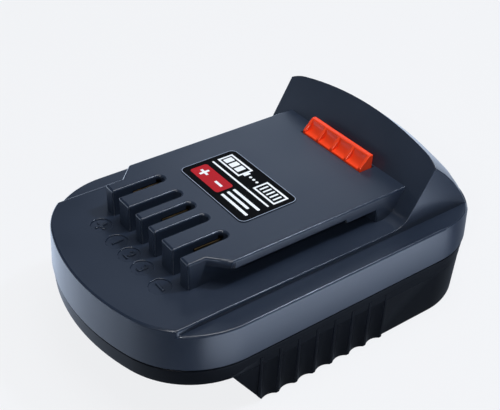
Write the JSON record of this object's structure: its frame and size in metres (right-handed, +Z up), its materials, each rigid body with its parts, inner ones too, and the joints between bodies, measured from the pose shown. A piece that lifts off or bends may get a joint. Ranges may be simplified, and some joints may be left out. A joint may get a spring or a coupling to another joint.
{
  "type": "tool battery adapter",
  "caption": "Slide-on adapter between a rail-mounted battery pack and a cordless tool: winged plate with contact slots on top, sprung latch before a raised peak, battery dock below.",
  "frame": {"origin": "centre of the body's plan, at the level of the skirts' bottom edges on which the adapter stands", "axes": "+X across, +Y from the open front towards the raised peak at the rear, +Z up"},
  "size_m": [0.0768, 0.1226, 0.0531],
  "materials": {
    "slate_plastic": "fine satin moulded texture",
    "dark_plastic": "fine satin moulded texture",
    "orange_plastic": "satin moulded",
    "spring_steel": "drawn wire",
    "screw_steel": "zinc plated",
    "contact_brass": "stamped sheet",
    "terminal_plastic": "moulded",
    "carrier_plastic": "moulded",
    "board_laminate": "solder mask over glass laminate",
    "fuse_ceramic": "glazed",
    "red_insulation": "extruded",
    "black_insulation": "extruded",
    "yellow_insulation": "extruded",
    "label_film": "printed film"
  },
  "bodies": {
    "housing": {"upper_shell": "slate_plastic", "lower_shell": "dark_plastic", "latch_spring_left": "spring_steel", "latch_spring_right": "spring_steel", "terminal_block": "terminal_plastic", "terminal_block_screws": "screw_steel", "blade_positive": "contact_brass", "blade_negative": "contact_brass", "blade_signal": "contact_brass", "contact_carrier": "carrier_plastic", "carrier_screws": "screw_steel", "clip_positive": "contact_brass", "clip_negative": "contact_brass", "clip_signal": "contact_brass", "circuit_board": "board_laminate", "board_screws": "screw_steel", "fuse": "fuse_ceramic", "fuse_clips": "contact_brass", "wire_positive": "red_insulation", "wire_negative": "black_insulation", "wire_signal": "yellow_insulation", "case_screws": "screw_steel", "label": "label_film"},
    "latch": {"latch": "orange_plastic"},
    "release_button": {"release_button": "orange_plastic"}
  },
  "joints": [
    {"name": "button_press", "type": "slide", "parent": "housing", "child": "release_button", "axis": [0, -1, 0], "range_m": [0, 0.004]},
    {"name": "latch_slide", "type": "slide", "parent": "housing", "child": "latch", "axis": [0, 0, -1], "range_m": [0, 0.004], "stiffness_N_per_m": 1500, "springref_m": -0.003, "deforming": ["latch_spring_left", "latch_spring_right"]}
  ],
  "couplings": [
    {"joint": "latch_slide", "follows": "button_press", "ratio": 1}
  ]
}
